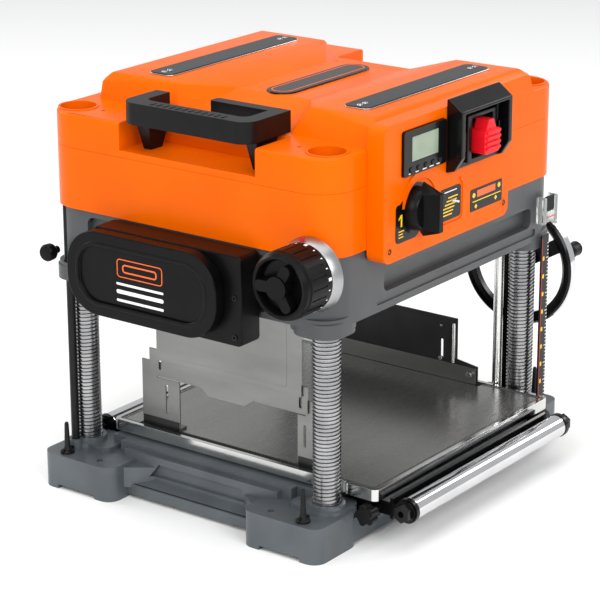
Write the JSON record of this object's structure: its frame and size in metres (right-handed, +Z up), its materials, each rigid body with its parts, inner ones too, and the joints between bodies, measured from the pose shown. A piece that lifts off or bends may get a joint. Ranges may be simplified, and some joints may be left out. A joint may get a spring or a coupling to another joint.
{
  "type": "thickness planer",
  "caption": "Portable four-column thickness planer: an orange-covered cutting head is wound up and down on threaded columns over a steel table with extension rollers.",
  "frame": {"origin": "on the floor, at the middle of the whole machine's box and midway between the four columns", "axes": "+Z up, +X to the operator's right, boards go in from -Y and come out at +Y"},
  "size_m": [0.536, 0.482, 0.436],
  "materials": {
    "cast_base": "powder-coated grey casting",
    "cast_head": "powder-coated grey casting",
    "orange_cover": "gloss orange moulded ABS",
    "black_plastic": "satin black moulded plastic",
    "threaded_steel": "ground and plated steel thread",
    "brushed_steel": "brushed steel",
    "sheet_steel": "zinc-plated sheet steel",
    "chrome_roller": "polished chrome",
    "black_steel": "black powder-coated steel",
    "anodised_strip": "dark anodised aluminium",
    "red_plastic": "red moulded plastic",
    "clear_plastic": "clear acrylic",
    "lcd": "grey-green display window",
    "button_rubber": "soft button",
    "feed_rubber": "rubber feed roller",
    "scale_enamel": "black enamelled scale"
  },
  "bodies": {
    "base": {"base_casting": "cast_base", "table_plate": "brushed_steel", "lift_chain": "brushed_steel", "hold_down_bolt_front_left": "black_steel", "hold_down_bolt_front_right": "black_steel", "hold_down_bolt_rear_left": "black_steel", "hold_down_bolt_rear_right": "black_steel", "guide_rod_rear_left": "black_steel", "guide_rod_front_right": "brushed_steel", "scale_post": "scale_enamel", "guard_lower_left": "sheet_steel", "guard_lower_right": "sheet_steel", "handwheel_bracket": "black_steel", "rear_roller_frame": "black_steel"},
    "head": {"head_casting": "cast_head", "lower_shell": "orange_cover", "top_cover": "orange_cover", "top_strip_front": "anodised_strip", "top_strip_rear": "anodised_strip", "carry_handle": "black_plastic", "gearbox_housing": "black_plastic", "belt_cover": "black_plastic", "turret_bezel": "brushed_steel", "control_panel": "orange_cover", "display_bezel": "black_plastic", "display_glass": "lcd", "switch_hood": "black_plastic", "motor": "brushed_steel", "scale_pointer": "clear_plastic", "chip_port": "black_plastic"},
    "handwheel": {"handwheel": "black_steel"},
    "crank_knob": {"crank_knob": "black_plastic"},
    "drive_shaft": {"drive_shaft": "brushed_steel"},
    "lead_screw_front_left": {"lead_screw_front_left": "threaded_steel"},
    "lead_screw_front_right": {"lead_screw_front_right": "threaded_steel"},
    "lead_screw_rear_left": {"lead_screw_rear_left": "threaded_steel"},
    "lead_screw_rear_right": {"lead_screw_rear_right": "threaded_steel"},
    "front_roller_frame": {"front_roller_frame": "black_steel"},
    "front_roller": {"front_roller": "chrome_roller"},
    "rear_roller": {"rear_roller": "chrome_roller"},
    "star_knob_left": {"star_knob_left": "black_plastic"},
    "star_knob_right": {"star_knob_right": "black_plastic"},
    "guard_middle_left": {"guard_middle_left": "sheet_steel"},
    "guard_upper_left": {"guard_upper_left": "sheet_steel"},
    "guard_upper_right": {"guard_upper_right": "sheet_steel"},
    "cutterhead": {"cutterhead": "brushed_steel"},
    "motor_pulley": {"motor_pulley": "brushed_steel"},
    "infeed_roller": {"infeed_roller": "feed_rubber"},
    "outfeed_roller": {"outfeed_roller": "feed_rubber"},
    "turret_knob": {"turret_knob": "black_plastic"},
    "height_lock_knob": {"height_lock_knob": "black_plastic"},
    "speed_lever": {"speed_lever": "black_plastic"},
    "switch_paddle": {"switch_paddle": "red_plastic"},
    "display_button_1": {"display_button_1": "button_rubber"},
    "display_button_2": {"display_button_2": "button_rubber"},
    "display_button_3": {"display_button_3": "button_rubber"},
    "display_button_4": {"display_button_4": "button_rubber"},
    "display_button_5": {"display_button_5": "button_rubber"}
  },
  "joints": [
    {"name": "handwheel_turn", "type": "hinge", "parent": "base", "child": "handwheel", "pos_m": [0.231, -0.118, 0.182], "axis": [1, 0, 0], "range_deg": [-14400, 180]},
    {"name": "crank_knob_spin", "type": "hinge", "parent": "handwheel", "child": "crank_knob", "pos_m": [0.245, -0.174, 0.202], "axis": [1, 0, 0], "continuous": true},
    {"name": "drive_shaft_spin", "type": "hinge", "parent": "base", "child": "drive_shaft", "pos_m": [0.22, -0.118, 0.1], "axis": [0, 0, 1], "range_deg": [-14410, 190]},
    {"name": "head_lift", "type": "slide", "parent": "base", "child": "head", "axis": [0, 0, 1], "range_m": [-0.1602, 0.0022]},
    {"name": "lead_screw_front_left_spin", "type": "hinge", "parent": "base", "child": "lead_screw_front_left", "pos_m": [-0.18, -0.156, 0.1], "axis": [0, 0, 1], "range_deg": [-14410, 190]},
    {"name": "lead_screw_front_right_spin", "type": "hinge", "parent": "base", "child": "lead_screw_front_right", "pos_m": [0.18, -0.156, 0.1], "axis": [0, 0, 1], "range_deg": [-14410, 190]},
    {"name": "lead_screw_rear_left_spin", "type": "hinge", "parent": "base", "child": "lead_screw_rear_left", "pos_m": [-0.18, 0.156, 0.1], "axis": [0, 0, 1], "range_deg": [-14410, 190]},
    {"name": "lead_screw_rear_right_spin", "type": "hinge", "parent": "base", "child": "lead_screw_rear_right", "pos_m": [0.18, 0.156, 0.1], "axis": [0, 0, 1], "range_deg": [-14410, 190]},
    {"name": "guard_upper_left_slide", "type": "slide", "parent": "base", "child": "guard_upper_left", "axis": [0, 0, 1], "range_m": [-0.125, 0.005]},
    {"name": "guard_upper_right_slide", "type": "slide", "parent": "base", "child": "guard_upper_right", "axis": [0, 0, 1], "range_m": [-0.125, 0.005]},
    {"name": "guard_middle_left_slide", "type": "slide", "parent": "base", "child": "guard_middle_left", "axis": [0, 0, 1], "range_m": [-0.1, 0.005]},
    {"name": "front_roller_pull", "type": "slide", "parent": "base", "child": "front_roller_frame", "axis": [0, -1, 0], "range_m": [0, 0.04]},
    {"name": "front_roller_spin", "type": "hinge", "parent": "front_roller_frame", "child": "front_roller", "pos_m": [0, -0.228, 0.043], "axis": [1, 0, 0], "continuous": true},
    {"name": "rear_roller_spin", "type": "hinge", "parent": "base", "child": "rear_roller", "pos_m": [0, 0.164, 0.043], "axis": [1, 0, 0], "continuous": true},
    {"name": "star_knob_left_turn", "type": "hinge", "parent": "base", "child": "star_knob_left", "pos_m": [-0.16, -0.1938, 0.037], "axis": [1, 0, 0], "continuous": true},
    {"name": "star_knob_right_turn", "type": "hinge", "parent": "base", "child": "star_knob_right", "pos_m": [0.16, -0.1938, 0.037], "axis": [1, 0, 0], "continuous": true},
    {"name": "cutterhead_spin", "type": "hinge", "parent": "head", "child": "cutterhead", "pos_m": [0, -0.01, 0.262], "axis": [1, 0, 0], "continuous": true},
    {"name": "motor_pulley_spin", "type": "hinge", "parent": "head", "child": "motor_pulley", "pos_m": [-0.185, 0.03, 0.352], "axis": [1, 0, 0], "continuous": true},
    {"name": "infeed_roller_spin", "type": "hinge", "parent": "head", "child": "infeed_roller", "pos_m": [0, -0.072, 0.251], "axis": [1, 0, 0], "continuous": true},
    {"name": "outfeed_roller_spin", "type": "hinge", "parent": "head", "child": "outfeed_roller", "pos_m": [0, 0.052, 0.251], "axis": [1, 0, 0], "continuous": true},
    {"name": "turret_turn", "type": "hinge", "parent": "head", "child": "turret_knob", "pos_m": [-0.24, -0.16, 0.292], "axis": [1, 0, 0], "range_deg": [0, 300]},
    {"name": "height_lock_turn", "type": "hinge", "parent": "head", "child": "height_lock_knob", "pos_m": [-0.218, 0.166, 0.257], "axis": [1, 0, 0], "continuous": true},
    {"name": "speed_lever_turn", "type": "hinge", "parent": "head", "child": "speed_lever", "pos_m": [-0.098, -0.21, 0.338], "axis": [0, 1, 0], "range_deg": [0, 60]},
    {"name": "switch_rock", "type": "hinge", "parent": "head", "child": "switch_paddle", "pos_m": [0.005, -0.2, 0.392], "axis": [1, 0, 0], "range_deg": [0, 8]},
    {"name": "display_button_1_press", "type": "slide", "parent": "head", "child": "display_button_1", "axis": [0, 1, 0], "range_m": [0, 0.001], "stiffness_N_per_m": 300},
    {"name": "display_button_2_press", "type": "slide", "parent": "head", "child": "display_button_2", "axis": [0, 1, 0], "range_m": [0, 0.001], "stiffness_N_per_m": 300},
    {"name": "display_button_3_press", "type": "slide", "parent": "head", "child": "display_button_3", "axis": [0, 1, 0], "range_m": [0, 0.001], "stiffness_N_per_m": 300},
    {"name": "display_button_4_press", "type": "slide", "parent": "head", "child": "display_button_4", "axis": [0, 1, 0], "range_m": [0, 0.001], "stiffness_N_per_m": 300},
    {"name": "display_button_5_press", "type": "slide", "parent": "head", "child": "display_button_5", "axis": [0, 1, 0], "range_m": [0, 0.001], "stiffness_N_per_m": 300}
  ],
  "couplings": [
    {"joint": "head_lift", "follows": "handwheel_turn", "m_per_rad": 0.00063662},
    {"joint": "drive_shaft_spin", "follows": "handwheel_turn", "ratio": 1},
    {"joint": "lead_screw_front_left_spin", "follows": "handwheel_turn", "ratio": 1},
    {"joint": "lead_screw_front_right_spin", "follows": "handwheel_turn", "ratio": 1},
    {"joint": "lead_screw_rear_left_spin", "follows": "handwheel_turn", "ratio": 1},
    {"joint": "lead_screw_rear_right_spin", "follows": "handwheel_turn", "ratio": 1},
    {"joint": "guard_upper_left_slide", "follows": "handwheel_turn", "m_per_rad": 0.00048383},
    {"joint": "guard_upper_right_slide", "follows": "handwheel_turn", "m_per_rad": 0.00048383},
    {"joint": "guard_middle_left_slide", "follows": "handwheel_turn", "m_per_rad": 0.00038197},
    {"joint": "motor_pulley_spin", "follows": "cutterhead_spin", "ratio": 2},
    {"joint": "infeed_roller_spin", "follows": "cutterhead_spin", "ratio": -0.01},
    {"joint": "outfeed_roller_spin", "follows": "cutterhead_spin", "ratio": -0.01}
  ]
}
